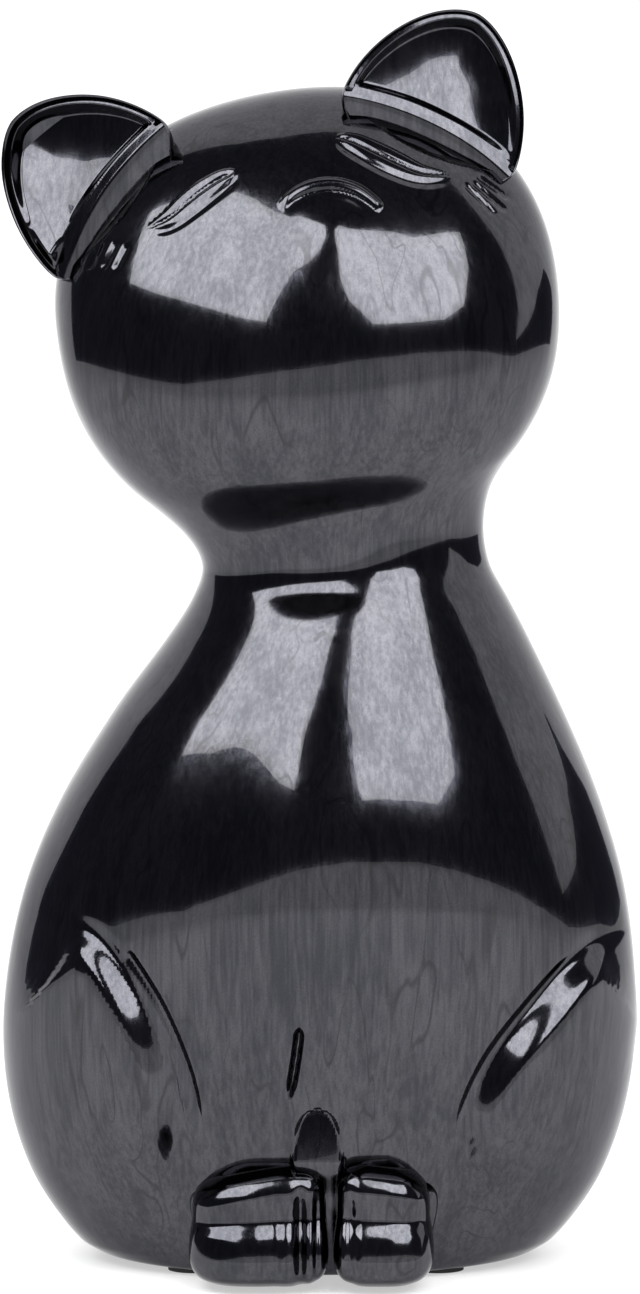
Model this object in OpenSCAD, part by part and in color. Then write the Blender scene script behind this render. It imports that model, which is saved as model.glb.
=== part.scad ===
// Sitting cat figurine in glazed, slip-cast earthenware.
// A pear-shaped hollow body and a round hollow head meet at a socket joint in the neck.
// Ears, front paws and tail are solid sprigs stuck to the castings, and four pads carry it.
// The cat faces -Y. Z = 0 is the surface it stands on. All sizes are in millimetres.

/* [Body] */
// Height of the neck joint above the ground
body_h = 157; // [147:1:172]
// Width of the body at its widest
body_w = 141.6; // [125:0.1:150]
// Depth of the chest in front of the body's middle
chest_d = 61.5; // [56:0.5:66]
// Depth behind the body's middle, as a share of half its width
back_share = 0.95; // [0.85:0.01:1]
// Thickness of the cast wall
wall_t = 5; // [4:0.5:7]
// Diameter of the vent hole in the floor
vent_d = 14; // [8:1:20]

/* [Head] */
// Height of the head's centre above the ground
head_z = 214.5; // [210:0.5:218]
// Width of the head without the ears
head_w = 113; // [106:0.5:118]
// Height of the head's upper half
crown_h = 49; // [46:0.5:52]
// Height of the head's lower half
jaw_h = 53.5; // [52:0.5:58]
// Depth of the face in front of the head's centre
face_d = 43; // [40:0.5:48]
// Depth of the skull behind the head's centre
skull_d = 47; // [42:0.5:52]
// Sideways tilt of the head, in degrees
roll_deg = 9; // [0:1:14]
// Backward tilt of the head, in degrees
pitch_deg = 35; // [20:1:40]
// Slope of the face: how far it leans back for each mm of height
face_slope = 0.15; // [0:0.01:0.25]

/* [Neck joint] */
// Diameter of the bore in the body's neck
bore_d = 44; // [40:0.5:46]
// Clearance around the head's collar, on the radius
collar_gap = 0.3; // [0.2:0.05:0.6]
// Length of the head's collar
collar_l = 9; // [6:0.5:12]

/* [Ears] */
// Width of an ear along its root
ear_w = 42; // [38:0.5:46]
// Height of an ear above its root
ear_h = 28; // [24:0.5:32]
// Depth of the dish in the ear
dish_d = 6; // [3:0.5:7]
// Backward lean of the ears, in degrees
ear_lean = 14; // [5:1:20]

/* [Paws] */
// Width of the two paws together
paws_w = 54; // [48:1:60]
// Height of a paw
paw_h = 27; // [22:1:30]
// Distance from the body's middle to the toes
toe_reach = 63; // [60:0.5:66]

/* [Tail] */
// Height of the tail where it lies against the body
tail_h = 19; // [14:1:22]
// Angle that the tail covers around the back, in degrees
tail_sweep = 95; // [60:5:110]

/* [Pads] */
// Diameter of a pad
pad_d = 12; // [8:1:16]
// Thickness of a pad
pad_t = 1.2; // [0.8:0.1:2]

/* [Hidden] */
glaze = [0.13, 0.13, 0.15];
rubber = [0.05, 0.05, 0.05];

// Half width of the pear against height, both as shares of body_w / 2 and body_h.
// Above 1 the outline runs on as the column inside the head.
pear = [[0, 0.685], [0.06, 0.80], [0.14, 0.90], [0.26, 0.978], [0.38, 1],
        [0.525, 0.96], [0.655, 0.862], [0.783, 0.717], [0.89, 0.573], [0.95, 0.497],
        [1, 0.452], [1.1, 0.45], [1.3, 0.38]];
// Depth of the front against height, as shares of chest_d and body_h
chest = [[0, 0.64], [0.06, 0.72], [0.14, 0.80], [0.26, 0.895], [0.38, 0.96],
         [0.53, 1], [0.64, 0.965], [0.78, 0.845], [0.89, 0.715], [0.95, 0.64],
         [1, 0.575], [1.1, 0.48], [1.3, 0.43]];
// Sideways lean of the pear's middle in mm, against height as a share of body_h
lean = [[0, 0], [0.35, 0.9], [0.6, 2.6], [0.78, 5], [0.93, 7.7], [1.02, 6.4], [1.12, 3.5], [1.3, 0]];
// Backward lean of the pear's middle at the neck joint
lean_back = 3;
// Where the middle of the base lies
stand_y = -2.5;
// Top of the column that carries the head
column_top = 197;
neck_share = 0.96;
// Size of the soft fillet between body and head
blend = 13;
head_c = [-2.1, -0.5, head_z];
// 2 makes the head an ellipsoid, more makes it boxier
roundness = 2.2;

// Ears: the first of two values is the ear on -X, the second the ear on +X
ear_x = [38.9, 35.4];
ear_y = -12;
ear_z = 33.2;
ear_turn = [44, 38];
ear_roll = 3;
// Powers and skew that shape the outline
ear_peak = 1.16;
ear_skew = 0.06;
// How far the root reaches into the head
root_d = 12;
rim_t = 2.5;
ear_tip_t = 4;
ear_root_t = 13;
// Rise of the ridge that closes the dish, and the length of the slope behind it
ridge_rise = 3.4;
ridge_run = 9;
// Height of the point that the ear's rings shrink towards, as a share of ear_h
ear_mid = 0.3;

// Paws: their middle, where they part, and the gap between them
paws_mid = -1;
paw_split = 3.3;
paw_gap = 0.9;
paw_l = 30;
// Squareness of a paw's outline: 1 is an ellipse, 0 a rectangle
paw_square = 0.5;
// Front of a paw against height as a share of paw_h, in mm behind the tips of the toes
paw_front = [[0, 7], [0.05, 3.2], [0.1, 1.3], [0.18, 0.2], [0.25, 0], [0.42, 1.4], [0.55, 3.6],
             [0.68, 3.4], [0.8, 3], [0.92, 5], [1, 9]];
// How far a paw's sides are drawn in at each share of its height
paw_sides = [[0, 4.2], [0.03, 2.6], [0.07, 1.5], [0.12, 0.7], [0.18, 0.2], [0.26, 0], [0.34, 0.1],
             [0.42, 0.3], [0.5, 0.6], [0.58, 0.8], [0.68, 0.8], [0.78, 0.9], [0.86, 1.3],
             [0.93, 2.2], [0.98, 4], [1, 6]];

// Tail: the angle at its root, its taper, its thickness as a share of its height
tail_start = 45;
tail_taper = 0.35;
tail_flat = 0.8;
// Share of the tail's length that rounds off at each end
tail_ends = [0.1, 0.14];
// How far the tail is let into the body, and its height above the base
tail_sunk = 1.5;
tail_lift = 0.5;
tail_rings = 17;

pad_x = 27;
pad_y = 23;
// Radius at the foot of the outside wall: [height above the base, level of the field]
foot = [[0, -2.2], [0.6, -0.7], [2.2, 0]];
// Heights of the rings of the outside wall, as shares of body_h
wall_rings = [0.052, 0.09, 0.135, 0.187, 0.245, 0.31, 0.374, 0.439, 0.503, 0.568, 0.632, 0.69,
              0.748, 0.8, 0.845, 0.884, 0.916, 0.942, 0.965, 0.984, 1];
head_rings = 21;
// Extra depth of the collar's seat and thickness of the collar
seat_gap = 1;
collar_t = 4;

around = 48;
around_tail = 20;
halvings = 15;

// ---- Curves ----
function slope(p, i) =
    let (a = max(i - 1, 0), b = min(i + 1, len(p) - 1))
    (p[b][1] - p[a][1]) / (p[b][0] - p[a][0]);
function span(p, x, i = 0) = i >= len(p) - 2 || x < p[i + 1][0] ? i : span(p, x, i + 1);
// Height at x of the smooth curve through the [x, y] points p
function curve(p, x) =
    let (i = span(p, x), h = p[i + 1][0] - p[i][0])
    let (t = min(max((x - p[i][0]) / h, 0), 1), s = 1 - t)
    p[i][1] * s * s * (1 + 2 * t) + p[i + 1][1] * t * t * (3 - 2 * t)
    + h * (slope(p, i) * t * s * s - slope(p, i + 1) * t * t * s);
function ease(t) = let (u = min(max(t, 0), 1)) u * u * (3 - 2 * u);
// A rounded step: the power of a sine or cosine with its sign kept
function squared(v, k) = sign(v) * pow(abs(v), k);
function turns(n) = [for (i = [0:n - 1]) 360 * i / n];

// ---- The figure's surface as a field: below zero inside, in about millimetres ----
function pear_mid(z) = [curve(lean, z / body_h), stand_y + lean_back * pow(max(z, 0) / body_h, 2), z];
function pear_field(p) =
    let (up = p.z / body_h, m = pear_mid(p.z), w = body_w / 2 * curve(pear, up))
    let (back = w * (back_share + (neck_share - back_share) * ease(up * 2 - 1)))
    let (d = p.y < m.y ? chest_d * curve(chest, up) : back)
    max((norm([(p.x - m.x) / w, (p.y - m.y) / d]) - 1) * w, p.z - column_top);
function roll(v, a) = [v.x * cos(a) - v.z * sin(a), v.y, v.x * sin(a) + v.z * cos(a)];
function pitch(v, a) = [v.x, v.y * cos(a) - v.z * sin(a), v.y * sin(a) + v.z * cos(a)];
// A point in the head's own tilted axes
function head_axes(p) =
    let (v = roll(p - head_c, -roll_deg))
    pitch([v.x, v.y - face_slope * v.z, v.z], pitch_deg);
function head_field(p) =
    let (q = head_axes(p), n = roundness)
    let (a = abs(q.x) / (head_w / 2), b = abs(q.y) / (q.y < 0 ? face_d : skull_d))
    let (c = abs(q.z) / (q.z > 0 ? crown_h : jaw_h))
    (pow(pow(a, n) + pow(b, n) + pow(c, n), 1 / n) - 1) * crown_h;
function figure_field(p) =
    let (f = pear_field(p), g = head_field(p), h = max(blend - abs(f - g), 0) / blend)
    min(f, g) - h * h * blend / 4;
// Distance along the ray from o towards d at which the field reaches level
function reach(o, d, level, lo, hi, n) =
    let (m = (lo + hi) / 2)
    n == 0 ? m
    : figure_field(o + m * d) < level ? reach(o, d, level, m, hi, n - 1)
    : reach(o, d, level, lo, m, n - 1);
function hit(o, d, level) = o + reach(o, d, level, 0, 100, halvings) * d;

// ---- Rings of points ----
function circle_ring(m, r, z) = [for (a = turns(around)) [m.x + r * cos(a), m.y + r * sin(a), z]];
// A ring of the pear at height z, moved in or out to a level of the field
function body_ring(z, level) = [for (a = turns(around)) hit(pear_mid(z), [cos(a), sin(a), 0], level)];
// A ring of the head: t runs from 0 at the neck joint to 1 at the crown
function head_ring(t, level) =
    let (e = 90 * t * t * (1.6 - 0.6 * t), k = ease(t * 1.6))
    let (o = pear_mid(body_h) * (1 - k) + head_c * k)
    [for (a = turns(around)) hit(o, [cos(e) * cos(a), cos(e) * sin(a), sin(e)], level)];
function middle(ring) = [for (k = [0:2]) sum_of(ring, k) / len(ring)];
function sum_of(ring, k, i = 0) = i == len(ring) ? 0 : ring[i][k] + sum_of(ring, k, i + 1);

// A closed solid between rings. Looped rings join last to first, others get a cap at each end.
module loft(rings, looped = false) {
    n = len(rings[0]);
    m = len(rings);
    points = concat([for (r = rings) each r], [middle(rings[0]), middle(rings[m - 1])]);
    function at(j, i) = (j % m) * n + i % n;
    sides = [for (j = [0:m - (looped ? 1 : 2)], i = [0:n - 1], first = [true, false])
        first ? [at(j, i), at(j + 1, i), at(j + 1, i + 1)]
        : [at(j, i), at(j + 1, i + 1), at(j, i + 1)]];
    caps = [for (i = [0:n - 1], low = [true, false])
        low ? [m * n, at(0, i), at(0, i + 1)] : [m * n + 1, at(m - 1, i + 1), at(m - 1, i)]];
    polyhedron(looped ? [for (r = rings) each r] : points, looped ? sides : concat(sides, caps));
}

// ---- Castings ----
body_outside = concat(
    [for (f = foot) body_ring(pad_t + f[0], f[1])],
    [for (share = wall_rings) body_ring(share * body_h, 0)]);
collar_r = bore_d / 2 - collar_gap;
collar_seat = body_h - collar_l - seat_gap;
floor_z = pad_t + wall_t;

module body_casting() {
    neck = pear_mid(body_h);
    top = collar_seat - 2;
    low = floor_z + 2;
    inside = concat(
        [circle_ring(neck, bore_d / 2, body_h), circle_ring(neck, bore_d / 2, collar_seat)],
        [for (k = [0:11]) body_ring(top - (top - low) * k / 11, -wall_t)],
        [body_ring(floor_z, -wall_t * 1.5)],
        [for (z = [floor_z, pad_t]) circle_ring([0, stand_y], vent_d / 2, z)]);
    color(glaze) loft(concat(body_outside, inside), looped = true);
}

head_outside = [for (k = [0:head_rings - 1]) head_ring(k / head_rings, 0)];

module head_casting() {
    neck = pear_mid(body_h);
    end = body_h - collar_l;
    inside = concat(
        [for (k = [11:-1:1]) head_ring(0.08 + 0.85 * k / 11, -wall_t)],
        [circle_ring(neck, collar_r - collar_t, body_h + 3), circle_ring(neck, collar_r - collar_t, end)],
        [circle_ring(neck, collar_r, end), circle_ring(neck, collar_r, body_h)]);
    color(glaze) loft(concat(inside, head_outside));
}

// ---- Ears ----
// The ear's outline: a rounded peak above the root line and a buried arc below it
function ear_edge(a) =
    let (x = ear_w / 2 * squared(cos(a), ear_peak))
    let (y = sin(a) > 0 ? ear_h * pow(sin(a), ear_peak) : root_d * sin(a))
    [x - ear_skew * max(y, 0), y];
// The edge shrunk by k, in the plane of the ear
function ear_point(a, k) = let (c = [0, ear_h * ear_mid]) c + k * (ear_edge(a) - c);
// Depth of the dish: none on the rim band nor below the ridge that closes it
function dish(p, k) =
    let (ridge = ridge_rise * (1 - pow(2 * p.x / ear_w, 2)))
    dish_d * (1 - pow(k, 6)) * ease((p.y - ridge) / ridge_run);
function ear_back(p, k) =
    rim_t + (ear_tip_t + (ear_root_t - ear_tip_t) * ease(1 - p.y / ear_h)) * sqrt(1 - k * k * k);
function ear_ring(k, front) =
    [for (a = turns(around)) let (p = ear_point(a, k)) [p.x, p.y, front ? -dish(p, k) : -ear_back(p, k)]];

module ear_blank() {
    loft(concat([for (k = [0.25, 0.5, 0.72, 0.88, 0.97, 1]) ear_ring(k, false)],
        [for (k = [1, 0.95, 0.88, 0.75, 0.6, 0.42, 0.25, 0.1]) ear_ring(k, true)]));
}

// side is -1 for the ear on -X and 1 for the ear on +X
module ear(side) {
    one = side < 0 ? 0 : 1;
    color(glaze) resize([0, 0, 0]) difference() {
        translate(head_c) rotate([0, -roll_deg - ear_roll, 0])
            translate([side * ear_x[one], ear_y, ear_z]) rotate([0, side * ear_turn[one], 0])
                rotate([90 - ear_lean, 0, 0]) mirror([1 - one, 0, 0]) ear_blank();
        loft(head_outside);
    }
}

// ---- Paws ----
function paw_ring(h, x0, x1, inset) =
    let (front = toe_reach - curve(paw_front, h), back = toe_reach - paw_l)
    let (hw = (x1 - x0) / 2 - inset, hd = (front - back) / 2)
    [for (a = turns(around)) [
        (x0 + x1) / 2 + hw * squared(cos(a), paw_square),
        -(front + back) / 2 + hd * squared(sin(a), paw_square),
        pad_t + h * paw_h]];

module paw(x0, x1) {
    color(glaze) resize([0, 0, 0]) difference() {
        loft([for (s = paw_sides) paw_ring(s[0], x0, x1, s[1])]);
        loft(body_outside);
    }
}

// ---- Tail ----
// Roundness of the tail's ends: 1 along its length, near 0 at both tips
function tail_end(t) =
    let (near = min(t / tail_ends[0], (1 - t) / tail_ends[1], 1))
    sqrt(max(1 - pow(1 - near, 2), 0.04));
// A ring of the tail: t runs from 0 at its root to 1 at its tip
function tail_ring(t) =
    let (a = tail_start + tail_sweep * t, half = tail_h / 2 * (1 - tail_taper * t))
    let (z = pad_t + tail_lift + half, r = half * tail_end(t), out = [cos(a), sin(a), 0])
    let (s = hit(pear_mid(z), out, -tail_sunk))
    [for (b = turns(around_tail)) s + r * (tail_flat * cos(b) * out + [0, 0, sin(b)])];

module tail() {
    color(glaze) resize([0, 0, 0]) difference() {
        loft([for (k = [tail_rings - 1:-1:0]) tail_ring(k / (tail_rings - 1))]);
        loft(body_outside);
    }
}

// ---- Pads ----
module pad(x, y) {
    color(rubber) translate([x * pad_x, stand_y + y * pad_y, 0]) cylinder(d = pad_d, h = pad_t, $fn = 48);
}

body_casting();
head_casting();
ear(-1);  // ear_left
ear(1);  // ear_right
paw(paws_mid - paws_w / 2, paw_split - paw_gap / 2);  // paw_left
paw(paw_split + paw_gap / 2, paws_mid + paws_w / 2);  // paw_right
tail();
pad(-1, -1);  // pad_front_left
pad(1, -1);  // pad_front_right
pad(-1, 1);  // pad_back_left
pad(1, 1);  // pad_back_right
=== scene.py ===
import math
import bpy
import numpy as np
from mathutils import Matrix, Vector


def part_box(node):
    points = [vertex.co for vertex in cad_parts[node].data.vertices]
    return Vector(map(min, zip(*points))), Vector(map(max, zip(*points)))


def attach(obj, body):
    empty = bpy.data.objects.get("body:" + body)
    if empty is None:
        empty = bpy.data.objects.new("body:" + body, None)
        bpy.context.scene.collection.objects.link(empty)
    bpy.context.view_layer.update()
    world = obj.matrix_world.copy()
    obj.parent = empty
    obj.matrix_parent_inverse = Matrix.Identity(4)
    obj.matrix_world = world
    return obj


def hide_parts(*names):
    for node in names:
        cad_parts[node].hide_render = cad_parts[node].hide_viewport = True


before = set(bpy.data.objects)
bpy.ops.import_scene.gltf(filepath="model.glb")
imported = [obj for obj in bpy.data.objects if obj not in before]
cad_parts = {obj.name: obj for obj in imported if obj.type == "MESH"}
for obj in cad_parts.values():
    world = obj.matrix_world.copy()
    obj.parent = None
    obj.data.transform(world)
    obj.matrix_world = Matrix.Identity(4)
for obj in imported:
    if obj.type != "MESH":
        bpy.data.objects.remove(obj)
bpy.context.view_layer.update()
mm = 0.001


# Sizes taken from the CAD model, in millimetres
def boxOf(node):
    low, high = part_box(node)
    return np.array(low) / mm, np.array(high) / mm


jointZ = boxOf("body_casting")[1][2]
collarZ = boxOf("head_casting")[0][2]
pawLow, pawHigh = boxOf("paw_left")
otherPawLow, otherPawHigh = boxOf("paw_right")
tailLow, tailHigh = boxOf("tail")
padTop = boxOf("pad_front_left")[1][2]


# Smooth curve through listed points
def curve(points, x):
    p = np.asarray(points, float)
    xs, ys = p[:, 0], p[:, 1]
    slopes = np.gradient(ys, xs)
    slopes[1:-1] = (ys[2:] - ys[:-2]) / (xs[2:] - xs[:-2])
    x = np.clip(x, xs[0], xs[-1])
    i = np.clip(np.searchsorted(xs, x, side="right") - 1, 0, len(xs) - 2)
    h = xs[i + 1] - xs[i]
    t = (x - xs[i]) / h
    s = 1 - t
    rise = ys[i] * s * s * (1 + 2 * t) + ys[i + 1] * t * t * (3 - 2 * t)
    return rise + h * (slopes[i] * t * s * s - slopes[i + 1] * t * t * s)


def ease(t):
    t = np.clip(t, 0, 1)
    return t * t * (3 - 2 * t)


def bell(x, width):
    return np.exp(-(x / width) ** 2)


# Round bump, one at its centre
def spot(u, v, centre, spread):
    return np.exp(-((u - centre[0]) / spread[0]) ** 2 - ((v - centre[1]) / spread[1]) ** 2)


def power(value, k):
    return np.sign(value) * np.abs(value) ** k


# The figure's surface as a field, below zero inside. Lengths are in millimetres.
figure = {
    "bodyWidth": 141.6,
    "chestDepth": 61.5,
    "backShare": 0.95,
    "neckShare": 0.96,
    "standY": -2.5,
    "leanBack": 3,
    "columnTop": 197,
    "blend": 13,
    "headCentre": (-2.1, -0.5, 57.5),
    "headHalves": (56.5, 43, 47, 49, 53.5),
    "roundness": 2.2,
    "roll": 9,
    "pitch": 35,
    "faceSlope": 0.15,
}
pear = [[0, 0.685], [0.06, 0.80], [0.14, 0.90], [0.26, 0.978], [0.38, 1], [0.525, 0.96],
        [0.655, 0.862], [0.783, 0.717], [0.89, 0.573], [0.95, 0.497], [1, 0.452], [1.1, 0.45],
        [1.3, 0.38]]
chest = [[0, 0.64], [0.06, 0.72], [0.14, 0.80], [0.26, 0.895], [0.38, 0.96], [0.53, 1],
         [0.64, 0.965], [0.78, 0.845], [0.89, 0.715], [0.95, 0.64], [1, 0.575], [1.1, 0.48],
         [1.3, 0.43]]
lean = [[0, 0], [0.35, 0.9], [0.6, 2.6], [0.78, 5], [0.93, 7.7], [1.02, 6.4], [1.12, 3.5],
        [1.3, 0]]
headCentre = np.array(figure["headCentre"]) + [0, 0, jointZ]


def pearMiddle(z):
    z = np.asarray(z, float)
    y = figure["standY"] + figure["leanBack"] * (np.maximum(z, 0) / jointZ) ** 2
    return np.stack([curve(lean, z / jointZ), y, z], -1)


def pearField(p):
    up = p[..., 2] / jointZ
    width = figure["bodyWidth"] / 2 * curve(pear, up)
    middle = pearMiddle(p[..., 2])
    x, y = p[..., 0] - middle[..., 0], p[..., 1] - middle[..., 1]
    share = figure["backShare"] + (figure["neckShare"] - figure["backShare"]) * ease(up * 2 - 1)
    depth = np.where(y < 0, figure["chestDepth"] * curve(chest, up), width * share)
    return np.maximum((np.hypot(x / width, y / depth) - 1) * width, p[..., 2] - figure["columnTop"])


def turned(x, z, degrees):
    a = math.radians(degrees)
    return x * math.cos(a) + z * math.sin(a), z * math.cos(a) - x * math.sin(a)


def headField(p):
    q = p - headCentre
    x, z = turned(q[..., 0], q[..., 2], figure["roll"])
    z, y = turned(z, q[..., 1] - figure["faceSlope"] * z, figure["pitch"])
    side, face, skull, crown, jaw = figure["headHalves"]
    n = figure["roundness"]
    a = np.abs(x) / side
    b = np.abs(y) / np.where(y < 0, face, skull)
    c = np.abs(z) / np.where(z > 0, crown, jaw)
    return ((a ** n + b ** n + c ** n) ** (1 / n) - 1) * crown


def field(p):
    f, g, k = pearField(p), headField(p), figure["blend"]
    h = np.maximum(k - np.abs(f - g), 0) / k
    return np.minimum(f, g) - h * h * k / 4


def slopeOf(p):
    step = 0.05
    sides = [field(p + step * axis) - field(p - step * axis) for axis in np.eye(3)]
    slope = np.stack(sides, -1)
    return slope / np.linalg.norm(slope, axis=-1, keepdims=True)


def hit(origin, direction, level):
    near, far = np.zeros(direction.shape[:-1]), np.full(direction.shape[:-1], 100.0)
    for _ in range(20):
        middle = (near + far) / 2
        inside = field(origin + middle[..., None] * direction) < level
        near, far = np.where(inside, middle, near), np.where(inside, far, middle)
    return origin + near[..., None] * direction


# Buried parts of a sprig stay inside the wall of the casting
def keptInWall(p, depth=3.0):
    below = field(p)
    push = np.maximum(-depth - below, 0)
    return p + push[..., None] * slopeOf(p)


# Smooth line through a few points, for marks scored or raised on the surface
def smoothLine(points, count=60):
    points = np.asarray(points, float)
    knots = np.linspace(0, 1, len(points))
    t = np.linspace(0, 1, count)
    return np.stack([curve(np.stack([knots, points[:, k]], -1), t) for k in (0, 1)], -1)


# Signed distance from a line, positive on its left, and the share of its length passed
def nearLine(points, u, v, margin=12.0):
    line = smoothLine(points)
    distance, passed = np.full(u.shape, 1e3), np.zeros(u.shape)
    low, high = line.min(0) - margin, line.max(0) + margin
    close = (u > low[0]) & (u < high[0]) & (v > low[1]) & (v < high[1])
    place = np.stack([u[close], v[close]], -1)[:, None, :]
    start, step = line[:-1], np.diff(line, axis=0)
    along = ((place - start) * step).sum(-1) / (step ** 2).sum(-1)
    t = np.clip(along, 0, 1)
    gap = place - start - t[..., None] * step
    size = np.hypot(gap[..., 0], gap[..., 1])
    best = size.argmin(1)
    rows = np.arange(len(best))
    side = np.sign(step[best, 0] * gap[rows, best, 1] - step[best, 1] * gap[rows, best, 0])
    distance[close] = side * size[rows, best]
    passed[close] = (best + t[rows, best]) / len(step)
    return distance, passed


def window(t, fadeIn=0.1, fadeOut=0.1):
    return ease(t / fadeIn) * ease((1 - t) / fadeOut)


# Rows of points become one closed skin. Looped rows join last to first, others end in a point.
def closedSkin(name, rows, normals=None, looped=False):
    m, n = rows.shape[:2]
    points = rows.reshape(-1, 3)
    j = np.arange(m if looped else m - 1)[:, None]
    i = np.arange(n)[None, :]
    after, right = (j + 1) % m, (i + 1) % n
    quads = np.stack([j * n + i, j * n + right, after * n + right, after * n + i], -1).reshape(-1, 4)
    faces = quads.tolist()
    if not looped:
        ends = np.stack([rows[0].mean(0), rows[-1].mean(0)])
        points = np.concatenate([points, ends])
        first, last = m * n, m * n + 1
        for c in range(n):
            faces.append([c, first, (c + 1) % n])
            faces.append([(m - 1) * n + (c + 1) % n, last, (m - 1) * n + c])
    corners = points[quads]
    turn = np.cross(corners[:, 2] - corners[:, 0], corners[:, 3] - corners[:, 1])
    flipped = (turn * corners.mean(1)).sum() < 0
    if flipped:
        faces = [face[::-1] for face in faces]
    mesh = bpy.data.meshes.new(name)
    mesh.from_pydata((points * mm).tolist(), [], faces)
    mesh.polygons.foreach_set("use_smooth", np.ones(len(faces), bool))
    mesh.update()
    if normals is not None:
        mesh.normals_split_custom_set_from_vertices(normals.reshape(-1, 3).tolist())
    piece = bpy.data.objects.new(name, mesh)
    bpy.context.scene.collection.objects.link(piece)
    return piece


def rowNormals(rows):
    across = np.roll(rows, -1, 1) - np.roll(rows, 1, 1)
    along = np.gradient(rows, axis=0)
    normal = np.cross(across, along)
    return normal / np.maximum(np.linalg.norm(normal, axis=-1, keepdims=True), 1e-9)


def circleRow(middle, radius, z, angles):
    x = middle[0] + radius * np.cos(angles)
    y = middle[1] + radius * np.sin(angles)
    return np.stack([x, y, np.full(len(angles), z)], -1)


# Angles around the figure, closer together at the front
def frontAngles(count, crowd=0.45):
    v = np.arange(count) / count - 0.5
    return -math.pi / 2 + 2 * math.pi * v - crowd * np.sin(2 * math.pi * v)


def place(piece, node, slotName="glaze"):
    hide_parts(node)
    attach(piece, "root")
    print("made", piece.name, len(piece.data.polygons), "faces")
    return piece


# Body: thighs, grooves, hollow over the paws and a dip at the throat
bodyLook = {
    "wall": 5.0,
    "footRound": 2.2,
    "neckBore": 22,
    "ventRadius": 7,
    "columns": 380,
    "rowStep": 0.64,
    "upperStep": 1.1,
    "finePart": 84,
    "crowd": 0.54,
    "thighRise": 4.3,
    "thighStep": 3.7,
    "thighLength": 26,
    "thighBulge": 4.0,
    "bulgeAt": (50, 37),
    "bulgeSpread": (22, 29),
    "foldGroove": 0.6,
    "thinDepth": 1.1,
    "thinWidth": 1.15,
    "creaseDepth": 2.4,
    "creaseWidth": 0.85,
    "hollowDepth": 4.4,
    "hollowLip": 2.2,
    "hollowLow": 29,
    "hollowHigh": 40,
    "hollowHalf": 5.9,
    "wobble": 0.22,
    "throatDepth": 2.4,
    "throatAt": (1, 155),
    "throatSpread": (14, 7.6),
}
haunchLines = [
    [(-55, 80), (-47.5, 75), (-39.6, 63.8), (-34.1, 51), (-31.8, 40), (-31.2, 30), (-30.5, 19)],
    [(32, 19), (32.4, 30), (34.5, 40), (40, 51), (49, 62), (57, 70), (64, 75)],
]
haunchFades = [(0.24, 0.34), (0.34, 0.22)]
thinLine = [(-42.5, 74), (-40.7, 72.4), (-34, 62), (-28.6, 49.2), (-26, 38), (-25, 31)]
bellyLine = [(-3.6, 59.6), (-4.1, 53.7), (-5.9, 41.9)]


def ripple(p, seed, size):
    rng = np.random.default_rng(seed)
    total = np.zeros(p.shape[:-1])
    for _ in range(10):
        way = rng.normal(size=3)
        way = way / np.linalg.norm(way) / size * rng.uniform(0.6, 1.7)
        total = total + np.sin(p @ way * 2 * math.pi + rng.uniform(0, 6.3))
    return total / 10


# Broad unevenness of the body, with a slight dip at the throat
def unevenness(p):
    look = bodyLook
    dip = spot(p[..., 0], p[..., 2], look["throatAt"], look["throatSpread"]) * (p[..., 1] < 0)
    return look["wobble"] * ripple(p, 3, 34) - look["throatDepth"] * dip


def bodyRelief(p):
    look = bodyLook
    x, z = p[..., 0], p[..., 2]
    rise = np.zeros(x.shape)
    for line, fades in zip(haunchLines, haunchFades):
        s, t = nearLine(line, x, z, 45)
        s = -s
        reach = look["thighLength"]
        ramp = np.clip((s + 0.8) / look["thighStep"], 0, 1)
        step = 0.4 * ramp + 0.6 * ease(ramp)
        thigh = look["thighRise"] * step * np.clip(1 - s / reach, 0, 1) ** 1.5
        side = np.sign(line[2][0])
        bulge = spot(x * side, z, look["bulgeAt"], look["bulgeSpread"])
        rise = rise + window(t, *fades) * (thigh - look["foldGroove"] * bell(s + 1.6, 1.3))
        heights = sorted((up, across * side) for across, up in line)
        outer = ease((x * side - curve(heights, z) + 1) / 8)
        rise = rise + look["thighBulge"] * bulge * outer
    s, t = nearLine(thinLine, x, z)
    rise = rise - look["thinDepth"] * window(t, 0.2, 0.3) * bell(s, look["thinWidth"])
    s, t = nearLine(bellyLine, x, z)
    rise = rise - look["creaseDepth"] * window(t, 0.3, 0.2) * bell(s, look["creaseWidth"])
    low, high = look["hollowLow"], look["hollowHigh"]
    up = np.clip((z - low) / (high - low), 0, 1)
    half = look["hollowHalf"] * (1 - up ** 5) ** 0.5 * (1 - 0.2 * up)
    edge = ease((half - np.abs(x - 0.3)) / 1.1)
    floor = look["hollowDepth"] * up - look["hollowLip"] * (1 - up) * ease((z - low + 9) / 8)
    rise = rise - floor * edge * (z < high)
    return rise * ease(-p[..., 1] / 12) + unevenness(p)


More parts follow.
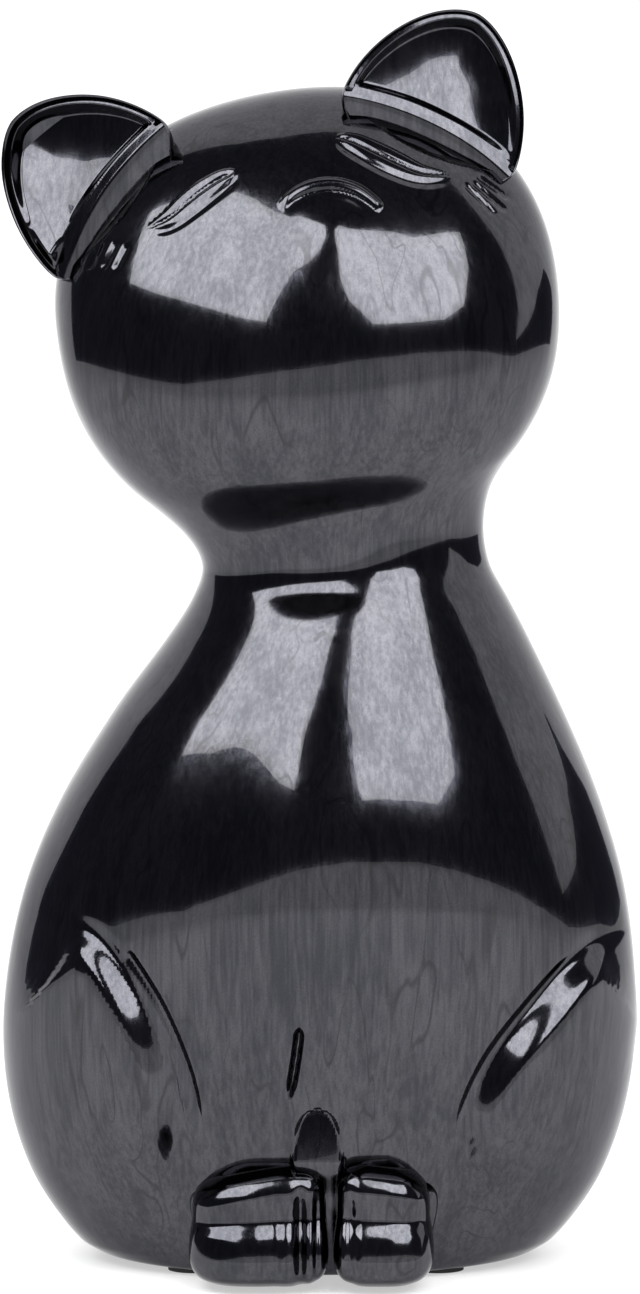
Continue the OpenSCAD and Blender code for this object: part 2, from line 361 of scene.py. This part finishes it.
def makeBody():
    look = bodyLook
    angles = frontAngles(look["columns"], look["crowd"])
    ways = np.stack([np.cos(angles), np.sin(angles), np.zeros(len(angles))], -1)
    turnIn = np.linspace(0, math.pi / 2, 9)[:-1]
    levels = list(-look["footRound"] * (1 - np.sin(turnIn)) ** 1.3)
    heights = list(padTop + look["footRound"] * (1 - np.cos(turnIn)))
    heights += list(np.arange(padTop + look["footRound"], look["finePart"], look["rowStep"]))
    count = int((jointZ - look["finePart"]) / look["upperStep"])
    heights += list(np.linspace(look["finePart"], jointZ, count))
    heights.append(jointZ + look["upperStep"])
    levels += [0.0] * (len(heights) - len(levels))
    rows = []
    for z, level in zip(heights, levels):
        rows.append(hit(np.broadcast_to(pearMiddle(z), ways.shape), ways, level))
    rows = np.array(rows)
    fade = ease((rows[..., 2] - padTop) / 4)
    rows = rows + (fade * bodyRelief(rows))[..., None] * slopeOf(rows)
    outsideNormals = rowNormals(rows)[:-1]
    outside = rows[:-1]
    neck = pearMiddle(jointZ)
    inner = [circleRow(neck, look["neckBore"], z, angles) for z in (jointZ, jointZ - 10)]
    for z in np.linspace(jointZ - 12, padTop + 7, 12):
        inner.append(hit(np.broadcast_to(pearMiddle(z), ways.shape), ways, -look["wall"]))
    floor = padTop + look["wall"]
    inner.append(hit(np.broadcast_to(pearMiddle(floor), ways.shape), ways, -1.5 * look["wall"]))
    for z in (floor, padTop):
        inner.append(circleRow((0, figure["standY"]), look["ventRadius"], z, angles))
    inner = np.array(inner)
    rows = np.concatenate([outside, inner])
    normals = np.concatenate([outsideNormals, rowNormals(inner)])
    return closedSkin("body_glazed", rows, normals, looped=True)


# Head: eyelids, nose, muzzle, whisker marks and the scoops under the ears
headLook = {
    "columns": 380,
    "rows": 205,
    "wall": 5.0,
    "boreRadius": 17.7,
    "collarRadius": 21.7,
    "chartTilt": 12,
    "lidRise": 0.32,
    "lidHalf": 2.3,
    "slit": 0.45,
    "slitWidth": 0.42,
    "underLid": 0.35,
    "noseRise": 0.9,
    "noseHalf": 0.95,
    "noseSwell": 0.35,
    "underNose": 0.25,
    "muzzleRise": 1.1,
    "muzzleAt": (10, 15),
    "muzzleSpread": (7.5, 6.5),
    "scoopDepth": 3.2,
    "scoopDrop": 7.5,
    "scoopGap": 1.5,
    "scoopReach": (16, 12),
    "whiskerDepth": 0.5,
    "whiskerWidth": 0.55,
    "wobble": 0.16,
}
eyeLines = [
    [(-30.6, 24.0), (-25.5, 25.6), (-21, 28), (-16.5, 30.2), (-12, 31.9), (-8.4, 32.4)],
    [(13.8, 35.2), (17.5, 33.8), (22, 30.4), (26.5, 26.9), (31, 23.8), (37.5, 21.4)],
]
noseLine = [(-1.2, 22.6), (2.3, 24.9), (6.7, 25.9), (11.7, 25.3), (15.8, 23.3), (18.7, 20.5),
            (20.7, 17.6)]
whiskerLines = [
    [(-41.5, 24), (-45.5, 18)], [(-37.7, 23.2), (-42.6, 17.2)], [(-35.6, 22.1), (-39.8, 16.5)],
    [(42.9, 20.7), (49.6, 13.6)], [(41.3, 20.1), (48.2, 11)], [(39.7, 19.8), (45.4, 10.7)],
]
earShape = {
    "columns": 300,
    "wobble": 0.12,
    "width": 42,
    "height": 28,
    "wall": 1.3,
    "bowl": 1.3,
    "dishTilt": ((0.12, -0.19), (0.04, -0.095)),
    "bevel": 0.5,
    "ridgeTilt": (0.56, 0.3),
    "recess": 3.2,
    "lean": (17, 14),
    "x": (38.9, 35.4),
    "y": -12,
    "z": 33.2,
    "turn": (44, 38),
    "roll": 3,
    "peak": 1.16,
    "skew": 0.06,
    "root": 12,
    "rim": 2.5,
    "tip": 4,
    "base": 13,
    "ridge": 3.4,
    "middle": 0.3,
    "band": 1.9,
}


def earAxes(side):
    ear = earShape
    which = int(side > 0)
    a = math.radians(90 - ear["lean"][which])
    b = math.radians(side * ear["turn"][which])
    c = math.radians(-figure["roll"] - ear["roll"])
    tip = np.array([[1, 0, 0], [0, math.cos(a), -math.sin(a)], [0, math.sin(a), math.cos(a)]])

    def about(angle):
        return np.array([[math.cos(angle), 0, math.sin(angle)], [0, 1, 0],
                         [-math.sin(angle), 0, math.cos(angle)]])

    mirror = np.diag([side, 1, 1])
    origin = about(c) @ np.array([side * ear["x"][which], ear["y"], ear["z"]])
    return about(c) @ about(b) @ tip @ mirror, origin + headCentre


def earRidge(x):
    return earShape["ridge"] * (1 - (2 * x / earShape["width"]) ** 2)


def scoop(p, side):
    look = headLook
    axes, origin = earAxes(side)
    q = (p - origin) @ axes
    x, y, z = q[..., 0], q[..., 1], q[..., 2]
    across = np.clip(1 - (2 * x / (earShape["width"] * 0.97)) ** 2, 0, 1)
    bottom = -look["scoopDrop"] * across
    top = earRidge(x) - look["scoopGap"]
    t = np.clip((y - bottom) / np.maximum(top - bottom, 0.01), 0, 1.6)
    deep = np.where(t < 1, np.sin(np.minimum(t, 1) * math.pi * 0.62) ** 0.8, 0.9)
    reach, height = look["scoopReach"]
    near = (np.abs(z) < reach) * (t > 0) * (y < height)
    return look["scoopDepth"] * across ** 0.7 * deep * near


def headRelief(p):
    look = headLook
    q = p - headCentre
    h, v = turned(q[..., 0], q[..., 2], look["chartTilt"])
    front = q[..., 1] < 2
    rise = look["muzzleRise"] * spot(h, v, look["muzzleAt"], look["muzzleSpread"])
    for line in eyeLines:
        s, t = nearLine(line, h, v)
        half = look["lidHalf"] * np.sin(math.pi * np.clip(t, 0, 1)) ** 0.6 + 0.05
        upper = np.clip(s / half, 0, 1)
        lower = np.clip(1 + s / half, 0, 1) * (s < 0)
        lid = upper * ease((1 - upper) / 0.2) + lower
        rise = rise + look["lidRise"] * lid * window(t, 0.08, 0.08)
        rise = rise - look["slit"] * bell(s, look["slitWidth"]) * window(t, 0.2, 0.2)
        fade = window(t, 0.15, 0.15)
        rise = rise - look["underLid"] * bell(s + half + 0.6, 0.8) * fade
    s, t = nearLine(noseLine, h, v)
    half = look["noseHalf"] + look["noseSwell"] * np.sin(math.pi * np.clip(t, 0, 1))
    nose = np.clip(1 - (s / half) ** 2, 0, 1) ** 0.7 * window(t, 0.12, 0.08)
    rise = rise + look["noseRise"] * nose
    rise = rise - look["underNose"] * bell(s + 2.0, 1.3) * window(t, 0.25, 0.25)
    for line in whiskerLines:
        s, t = nearLine(line, h, v)
        fade = window(t, 0.15, 0.15)
        rise = rise - look["whiskerDepth"] * bell(s, look["whiskerWidth"]) * fade
    rise = np.where(front, rise, 0)
    for side in (-1, 1):
        rise = rise - scoop(p, side)
    return rise + look["wobble"] * ripple(p, 8, 30)


# One row of points where rays from inside meet the surface: t runs from 0 at the neck to 1 at the crown
def headRay(t, angles, level=0.0):
    e = math.pi / 2 * t * t * (1.6 - 0.6 * t)
    k = ease(t * 1.6)
    middle = pearMiddle(jointZ) * (1 - k) + headCentre * k
    way = np.stack([np.cos(e) * np.cos(angles), np.cos(e) * np.sin(angles),
                    np.full(len(angles), math.sin(e))], -1)
    return hit(np.broadcast_to(middle, way.shape), way, level)


# Rows are closer together over the eyes and nose
def headRows(count):
    t = np.linspace(0, 0.99, 240)
    probe = np.array([headRay(value, np.array([-math.pi / 2]))[0] for value in t])
    length = np.linalg.norm(np.diff(probe, axis=0), axis=1)
    middle = (probe[1:, 2] + probe[:-1, 2]) / 2 - headCentre[2]
    cost = length * (1 + 1.3 * ease((middle - 4) / 6) * ease((46 - middle) / 6))
    total = np.concatenate([[0], np.cumsum(cost)])
    return np.interp(np.linspace(0, total[-1], count), total, t)


def makeHead():
    look = headLook
    angles = frontAngles(look["columns"])
    steps = headRows(look["rows"])
    rows = np.array([headRay(t, angles) for t in steps])
    extra = pearMiddle(jointZ - 0.8)
    ways = np.stack([np.cos(angles), np.sin(angles), np.zeros(len(angles))], -1)
    under = hit(np.broadcast_to(extra, ways.shape), ways, 0.0)
    rows = np.concatenate([under[None], rows])
    slopes = slopeOf(rows)
    body = unevenness(rows)
    k = ease((rows[..., 2] - jointZ) / 14)
    rise = headRelief(rows) * k + body * (1 - k)
    rows = rows + rise[..., None] * slopes
    normals = rowNormals(rows)[1:]
    outside = rows[1:]
    neck = pearMiddle(jointZ)
    inner = []
    for t in np.linspace(0.93, 0.16, 12):
        inner.append(headRay(t, angles, -look["wall"]))
    for radius, z in ((look["boreRadius"], jointZ + 3), (look["boreRadius"], collarZ),
                      (look["collarRadius"], collarZ), (look["collarRadius"], jointZ)):
        inner.append(circleRow(neck, radius, z, angles))
    inner = np.array(inner)
    rows = np.concatenate([inner, outside])
    innerNormals = rowNormals(inner)
    allNormals = np.concatenate([innerNormals, normals])
    ends = np.array([[0, 0, -1.0], slopeOf(rows[-1].mean(0))])
    flat = np.concatenate([allNormals.reshape(-1, 3), ends])
    return closedSkin("head_glazed", rows, flat)


# Outline of an ear in its own plane, from its root up
def earEdge(a):
    ear = earShape
    x = ear["width"] / 2 * power(np.cos(a), ear["peak"])
    y = np.where(np.sin(a) > 0, ear["height"] * np.abs(np.sin(a)) ** ear["peak"],
                 ear["root"] * np.sin(a))
    return np.stack([x - ear["skew"] * np.maximum(y, 0), y], -1)


# Face of an ear: rim, dish, the ridge under it and the part that runs down into the head
def earFront(p, k, side):
    ear = earShape
    centre = np.array([0, ear["height"] * ear["middle"]])
    radius = np.linalg.norm((p - centre), axis=-1) / max(k, 0.02)
    fromEdge = (1 - k) * radius
    above = p[..., 1] - earRidge(p[..., 0])
    which = int(side > 0)
    wall = ease((fromEdge - ear["band"] + 0.3) / 1.8)
    leanOut, leanUp = ear["dishTilt"][which]
    tipped = leanOut * p[..., 0] + leanUp * (p[..., 1] - centre[1])
    inward = np.clip((fromEdge - ear["band"]) / 13, 0, 1)
    dish = (ear["wall"] - tipped) * wall + ear["bowl"] * (1 - (1 - inward) ** 2)
    dish = dish * ease(above / 2.2)
    bevel = ear["bevel"] * np.clip(1 - fromEdge / ear["band"], 0, 1) * (above > -1)
    tilt = ear["ridgeTilt"][which] * np.clip(above + 2.4, 0, 2.4)
    below = ear["recess"] * ease((-2.2 - above) / 9)
    return -dish - bevel - tilt - below


def earBack(p, k):
    ear = earShape
    thick = ear["tip"] + (ear["base"] - ear["tip"]) * ease(1 - p[..., 1] / ear["height"])
    return -ear["rim"] - thick * math.sqrt(max(1 - k ** 3, 0))


def makeEar(name, side):
    ear = earShape
    columns = ear["columns"]
    angles = 2 * math.pi * np.arange(columns) / columns
    edge = earEdge(angles)
    centre = np.array([0, ear["height"] * ear["middle"]])
    rows = []
    for k in np.concatenate([np.linspace(0.05, 0.9, 24), np.linspace(0.92, 1, 9)]):
        p = centre + k * (edge - centre)
        rows.append(np.concatenate([p, earBack(p, k)[:, None]], -1))
    for turn in np.linspace(0.1, 1, 8) * math.pi / 2:
        p = centre + (edge - centre) * (1 + 0.012 * math.sin(turn * 2))
        z = -ear["rim"] * math.cos(turn)
        rows.append(np.concatenate([p, np.full((columns, 1), z)], -1))
    for k in np.concatenate([np.linspace(0.995, 0.86, 26), np.linspace(0.85, 0.02, 70)]):
        p = centre + k * (edge - centre)
        rows.append(np.concatenate([p, earFront(p, k, side)[:, None]], -1))
    axes, origin = earAxes(side)
    rows = np.array(rows) @ axes.T + origin
    rows = rows + ear["wobble"] * ripple(rows, 5, 16)[..., None]
    return closedSkin(name, keptInWall(rows))


# How far a paw's front and sides draw in, by the share of its height
pawFront = [[0, 7], [0.05, 3.2], [0.1, 1.3], [0.18, 0.2], [0.25, 0], [0.42, 1.4], [0.55, 3.6],
            [0.68, 3.4], [0.8, 3], [0.92, 5], [1, 9]]
pawSides = [[0, 4.2], [0.03, 2.6], [0.07, 1.5], [0.12, 0.7], [0.18, 0.2], [0.26, 0], [0.34, 0.1],
            [0.42, 0.3], [0.5, 0.6], [0.58, 0.8], [0.68, 0.8], [0.78, 0.9], [0.86, 1.3],
            [0.93, 2.2], [0.98, 4], [1, 6]]
# Grooves between the toes: place across, depth and width
pawLook = {
    "columns": 260,
    "drop": 4.0,
    "innerSquare": 0.42,
    "outerSquare": 0.74,
    "length": 30,
    "grooves": ((-9.0, 0.5, 1.6), (-3.4, 2.2, 1.3), (0.1, 0.8, 0.7), (7.6, 1.0, 1.2)),
}


def makePaw(name, low, high):
    look = pawLook
    parting = (pawHigh[0] + otherPawLow[0]) / 2
    x0, x1, front0 = low[0], high[0], low[1]
    heights = np.concatenate([np.linspace(0, 0.25, 26), np.linspace(0.26, 1, 62)])
    columns = look["columns"]
    a = 2 * math.pi * np.arange(columns) / columns
    rows = []
    for h in heights:
        inset = curve(pawSides, h)
        front = -front0 - curve(pawFront, h)
        back = -front0 - look["length"]
        outer = np.cos(a) * (x0 + x1 - 2 * parting) > 0
        square = np.where(outer, look["outerSquare"], look["innerSquare"])
        x = (x0 + x1) / 2 + ((x1 - x0) / 2 - inset) * power(np.cos(a), square)
        y = -(front + back) / 2 + (front - back) / 2 * power(np.sin(a), square)
        z = np.full(columns, low[2] + h * (high[2] - low[2]))
        for at, depth, width in look["grooves"]:
            y = y + depth * bell(x - at, width) * ease((0.9 - h) / 0.3) * ease((-y - front + 14) / 8)
        rows.append(np.stack([x, y, z], -1))
    rows = np.array(rows)
    drop = look["drop"] * np.clip(np.abs(rows[..., 0] - parting) / 27, 0, 1) ** 2
    share = ease((rows[..., 2] - low[2] - 9) / 16)
    rows[..., 2] = rows[..., 2] - drop * share
    rows = keptInWall(rows)
    rows[..., 2] = np.maximum(rows[..., 2], low[2])
    return closedSkin(name, rows)


# Tail: angles in degrees round the body, flat is its thickness as a share of its height
tailLook = {
    "columns": 64,
    "rings": 120,
    "start": 45,
    "sweep": 95,
    "taper": 0.35,
    "flat": 0.8,
    "sunk": 1.5,
    "ends": (0.1, 0.14),
}


def makeTail():
    look = tailLook
    full = (tailHigh[2] - padTop - 0.5) / 2
    columns = look["columns"]
    b = 2 * math.pi * np.arange(columns) / columns
    rows = []
    for t in np.linspace(1, 0, look["rings"]):
        a = math.radians(look["start"] + look["sweep"] * t)
        half = full * (1 - look["taper"] * t)
        near = min(t / look["ends"][0], (1 - t) / look["ends"][1], 1)
        r = half * math.sqrt(max(1 - (1 - near) ** 2, 0.003))
        z = padTop + 0.5 + half
        out = np.array([math.cos(a), math.sin(a), 0])
        s = hit(pearMiddle(z)[None], out[None], -look["sunk"])[0]
        ring = look["flat"] * np.cos(b)[:, None] * out + np.sin(b)[:, None] * np.array([0, 0, 1])
        rows.append(s + r * ring)
    rows = keptInWall(np.array(rows))
    rows[..., 2] = np.maximum(rows[..., 2], tailLow[2])
    return closedSkin("tail_glazed", rows)


# A shader value that adds, multiplies and divides like a number
class Signal:
    def __init__(self, paint, socket):
        self.paint = paint
        self.socket = socket

    def join(self, operation, a, b):
        vector = any(isinstance(s, Signal) and s.socket.type in ("VECTOR", "RGBA") for s in (a, b))
        if not vector:
            return self.paint.node("ShaderNodeMath", {"operation": operation}, {0: a, 1: b})
        if operation == "MULTIPLY" and isinstance(b, (int, float)):
            return self.paint.node("ShaderNodeVectorMath", {"operation": "SCALE"}, {0: a, "Scale": b})
        return self.paint.node("ShaderNodeVectorMath", {"operation": operation}, {0: a, 1: b})

    def __add__(self, other):
        return self.join("ADD", self, other)

    def __radd__(self, other):
        return self.join("ADD", other, self)

    def __sub__(self, other):
        return self.join("SUBTRACT", self, other)

    def __rsub__(self, other):
        return self.join("SUBTRACT", other, self)

    def __mul__(self, other):
        return self.join("MULTIPLY", self, other)

    def __rmul__(self, other):
        return self.join("MULTIPLY", self, other)

    def __truediv__(self, other):
        return self.join("DIVIDE", self, other)


# A material, and the one way of adding nodes to it
class Paint:
    def __init__(self, name):
        self.material = bpy.data.materials.new(name)
        self.material.use_nodes = True
        self.tree = self.material.node_tree
        self.shader = self.tree.nodes["Principled BSDF"]

    def node(self, kind, settings, inputs, output=0):
        made = self.tree.nodes.new(kind)
        for key, value in settings.items():
            setattr(made, key, value)
        for key, value in inputs.items():
            self.feed(made.inputs[key], value)
        return Signal(self, made.outputs[output])

    def feed(self, socket, value):
        if isinstance(value, Signal):
            self.tree.links.new(value.socket, socket)
        else:
            socket.default_value = value

    def shade(self, **values):
        for key, value in values.items():
            self.feed(self.shader.inputs[shaderSockets[key]], value)

    def place(self):
        return self.node("ShaderNodeTexCoord", {}, {}, "Object") * (1 / mm)

    def noise(self, at, size, stretch=(1, 1, 1), detail=2.0, roughness=0.5, distortion=0.0):
        scaled = at / [size * s for s in stretch]
        sockets = {"Vector": scaled, "Scale": 1.0, "Detail": detail, "Roughness": roughness,
                   "Distortion": distortion}
        return self.node("ShaderNodeTexNoise", {}, sockets)

    def ramp(self, value, low, high):
        inputs = {"Value": value, "From Min": low, "From Max": high}
        return self.node("ShaderNodeMapRange", {"interpolation_type": "SMOOTHSTEP"}, inputs)

    def mix(self, share, a, b, blend="MIX"):
        settings = {"data_type": "RGBA", "blend_type": blend}
        return self.node("ShaderNodeMix", settings, {0: share, 6: a, 7: b}, 2)

    def bump(self, height, distance):
        return self.node("ShaderNodeBump", {}, {"Height": height, "Distance": distance * mm})

    def absolute(self, value):
        return self.node("ShaderNodeMath", {"operation": "ABSOLUTE"}, {0: value})


shaderSockets = {
    "colour": "Base Color",
    "metallic": "Metallic",
    "edgeTint": "Specular Tint",
    "roughness": "Roughness",
    "coat": "Coat Weight",
    "coatRoughness": "Coat Roughness",
    "normal": "Normal",
    "emission": "Emission Color",
    "emissionStrength": "Emission Strength",
}

glazeLook = {
    "dark": (0.020, 0.021, 0.027, 1),
    "light": (0.05, 0.05, 0.058, 1),
    "streak": (0.014, 0.014, 0.017, 1),
    "edgeTint": (0.45, 0.45, 0.47, 1),
    "coat": 0.45,
    "roughness": 0.085,
    "grain": 0.3,
    "coatRoughness": 0.015,
    "flakeRoughness": 0.06,
    "strokeWidth": 0.9,
    "strokeLength": 26,
    "broadSize": 6.0,
    "cloudSize": 24.0,
    "flakeSize": 0.32,
    "runSize": 9.0,
    "runWidth": 0.028,
    "runShare": 0.7,
    "toneRange": (0.36, 0.64),
    "bumps": (0.008, 0.045, 0.26, 0.003),
}


def glazePaint():
    look = glazeLook
    paint = Paint("metallic_glaze")
    at = paint.place()
    strokes = paint.noise(at, look["strokeWidth"], (1, 1, look["strokeLength"]), 3.0, 0.6)
    broad = paint.noise(at, look["broadSize"], (1, 1, 5), 2.0, 0.5, 0.6)
    cloud = paint.noise(at, look["cloudSize"], (1, 1, 1.4), 3.0, 0.55)
    flake = paint.noise(at, look["flakeSize"], (1, 1, 1), 1.0, 0.7)
    run = paint.absolute(paint.noise(at, look["runSize"], (1, 1, 5.5), 1.0, 0.4, 0.9) - 0.5)
    runs = 1 - paint.ramp(run, 0.0, look["runWidth"])
    runs = runs * paint.ramp(cloud, 0.42, 0.62)
    tone = strokes * 0.45 + broad * 0.3 + cloud * 0.25
    tone = paint.ramp(tone, *look["toneRange"])
    colour = paint.mix(tone, look["dark"], look["light"])
    grain = paint.ramp(flake, 0.3, 0.72) * look["grain"] + (1 - look["grain"] * 0.5)
    colour = paint.mix(runs * look["runShare"], colour, look["streak"])
    colour = paint.mix(1.0, colour, grain, "MULTIPLY")
    strokeBump, broadBump, cloudBump, flakeBump = look["bumps"]
    height = strokes * strokeBump + broad * broadBump + cloud * cloudBump + flake * flakeBump
    paint.shade(colour=colour, metallic=1.0, edgeTint=look["edgeTint"], coat=look["coat"],
                coatRoughness=look["coatRoughness"], normal=paint.bump(height, 1.0),
                roughness=look["roughness"] + look["flakeRoughness"] * flake)
    return paint.material


rubberLook = {
    "clean": (0.012, 0.012, 0.012, 1),
    "dusty": (0.035, 0.034, 0.033, 1),
    "dust": 0.5,
    "roughness": 0.65,
    "grainSize": 0.4,
    "dustSize": 3.0,
}


def rubberPaint():
    look = rubberLook
    paint = Paint("pad_rubber")
    at = paint.place()
    grain = paint.noise(at, look["grainSize"], (1, 1, 1), 3.0, 0.6)
    dust = paint.ramp(paint.noise(at, look["dustSize"], (1, 1, 1), 2.0, 0.5), 0.45, 0.7)
    colour = paint.mix(dust * look["dust"], look["clean"], look["dusty"])
    paint.shade(colour=colour, metallic=0.0, roughness=look["roughness"] + 0.2 * grain,
                normal=paint.bump(grain, 0.05))
    return paint.material


# Studio: brightness of the surroundings and of the cards that the glaze mirrors
studio = {
    "world": 1.22,
    "floor": (0.46, 0.46, 0.46, 1),
    "floorGlow": 0.5,
    "boxStrength": 7.6,
    "flagGlow": (0.092, 0.094, 0.118, 1),
    "radius": 2600,
    "centreHeight": 150,
    "flagTop": 89.9,
    "flagBottom": -3,
    "floorHalf": 30.0,
}
# Corners of the soft boxes as seen from the figure: degrees to the right of the camera, and up
softBoxes = [
    [(-88, 34), (-70, 37), (-27, 36), (-19, 35), (-17, 50), (-19, 62), (-36, 73), (-79, 71),
     (-100, 50)],
    [(14, 31), (32, 29), (48, 26), (60, 29), (72, 42), (80, 53), (48, 62), (30, 68), (10, 74),
     (-6, 70), (0, 56), (6, 42)],
]
# Lower edge of the dark flag overhead, and upper edge of the low flag behind the right shoulder
flagLower = [[-180, 74], [-160, 72], [-150, 71], [-138, 67], [-133, 50], [-131, -3], [-70, 1],
             [-50, 2], [-31, 7], [-10, 12.5], [8, 14], [35, 13], [50, 10], [66, 6], [88, -1],
             [98, -3], [100, 48], [106, 62], [112, 74], [142, 79], [172, 76], [180, 74]]
lowFlag = [[97, 3], [112, 7], [124, 12], [137, 12], [147, 5]]


def skyPoint(azimuth, elevation, radius):
    a, e = math.radians(azimuth), math.radians(elevation)
    x = radius * math.cos(e) * math.sin(a)
    y = -radius * math.cos(e) * math.cos(a)
    return (x * mm, y * mm, (radius * math.sin(e) + studio["centreHeight"]) * mm)


def stageObject(name, points, faces):
    mesh = bpy.data.meshes.new(name)
    mesh.from_pydata(points, [], faces)
    made = bpy.data.objects.new(name, mesh)
    bpy.context.scene.collection.objects.link(made)
    return made


def card(name, points, faces, colour, strength):
    made = stageObject(name, points, faces)
    paint = Paint(name)
    paint.tree.nodes.remove(paint.shader)
    glow = paint.node("ShaderNodeEmission", {}, {"Color": colour, "Strength": strength})
    paint.feed(paint.tree.nodes["Material Output"].inputs["Surface"], glow)
    made.data.materials.append(paint.material)
    made.visible_camera = False
    made.visible_shadow = False
    return made


def makeDarkFlag():
    radius, top = studio["radius"], studio["flagTop"]
    columns = np.array(sorted(set(range(-180, 181, 5)) | {a for a, _ in flagLower}), float)
    low = np.interp(columns, *np.array(flagLower, float).T)
    steps = np.linspace(0, 1, 13)
    points = [skyPoint(a, lo + (top - lo) * s, radius) for a, lo in zip(columns, low)
              for s in steps]
    n = len(steps)
    faces = [(i * n + j, i * n + n + j, i * n + n + j + 1, i * n + j + 1)
             for i in range(len(columns) - 1) for j in range(n - 1)]
    card("dark_flag", points, faces, studio["flagGlow"], 1.0).visible_diffuse = False


def makeLowFlag():
    radius, bottom = studio["radius"], studio["flagBottom"]
    points = [skyPoint(a, e, radius) for a, top in lowFlag for e in (bottom, top)]
    faces = [(2 * i, 2 * i + 2, 2 * i + 3, 2 * i + 1) for i in range(len(lowFlag) - 1)]
    card("low_flag", points, faces, studio["flagGlow"], 1.0).visible_diffuse = False


def makeSoftBoxes():
    for number, corners in enumerate(softBoxes):
        points = [skyPoint(a, e, studio["radius"] * 0.9) for a, e in corners]
        face = tuple(range(len(points)))
        card(f"soft_box_{number}", points, [face], (1, 1, 1, 1), studio["boxStrength"])


def makeFloor():
    size = studio["floorHalf"]
    corners = [(-size, -size, 0), (size, -size, 0), (size, size, 0), (-size, size, 0)]
    floor = stageObject("floor", corners, [(0, 1, 2, 3)])
    paint = Paint("floor")
    paint.shade(colour=studio["floor"], roughness=0.6, emission=(1, 1, 1, 1),
                emissionStrength=studio["floorGlow"])
    floor.data.materials.append(paint.material)


def makeWorld():
    world = bpy.data.worlds.new("studio")
    world.use_nodes = True
    background = world.node_tree.nodes["Background"]
    background.inputs["Color"].default_value = (1, 1, 1, 1)
    background.inputs["Strength"].default_value = studio["world"]
    bpy.context.scene.world = world
    bpy.context.scene.view_settings.view_transform = "Standard"


# Camera: place in millimetres, tilt in degrees from straight down
cameraLook = {
    "place": (0.9, -1495.8, 249.8),
    "tilt": 85.7,
    "lens": 123.3292,
    "sensor": 24,
}


def makeCamera():
    look = cameraLook
    data = bpy.data.cameras.new("camera")
    data.sensor_fit = "VERTICAL"
    data.sensor_height = look["sensor"]
    data.lens = look["lens"]
    camera = bpy.data.objects.new("camera", data)
    camera.location = [value * mm for value in look["place"]]
    camera.rotation_euler = (math.radians(look["tilt"]), 0, 0)
    bpy.context.scene.collection.objects.link(camera)
    bpy.context.scene.camera = camera


# Assembly
glaze = glazePaint()
pieces = [
    place(makeBody(), "body_casting"),
    place(makeHead(), "head_casting"),
    place(makeEar("ear_left_glazed", -1), "ear_left"),
    place(makeEar("ear_right_glazed", 1), "ear_right"),
    place(makePaw("paw_left_glazed", pawLow, pawHigh), "paw_left"),
    place(makePaw("paw_right_glazed", otherPawLow, otherPawHigh), "paw_right"),
    place(makeTail(), "tail"),
]
for piece in pieces:
    piece.data.materials.append(glaze)
rubber = rubberPaint()
for name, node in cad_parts.items():
    if name.startswith("pad_"):
        node.data.materials.clear()
        node.data.materials.append(rubber)
makeDarkFlag()
makeLowFlag()
makeSoftBoxes()
makeFloor()
makeWorld()
makeCamera()
print("studio and camera ready")
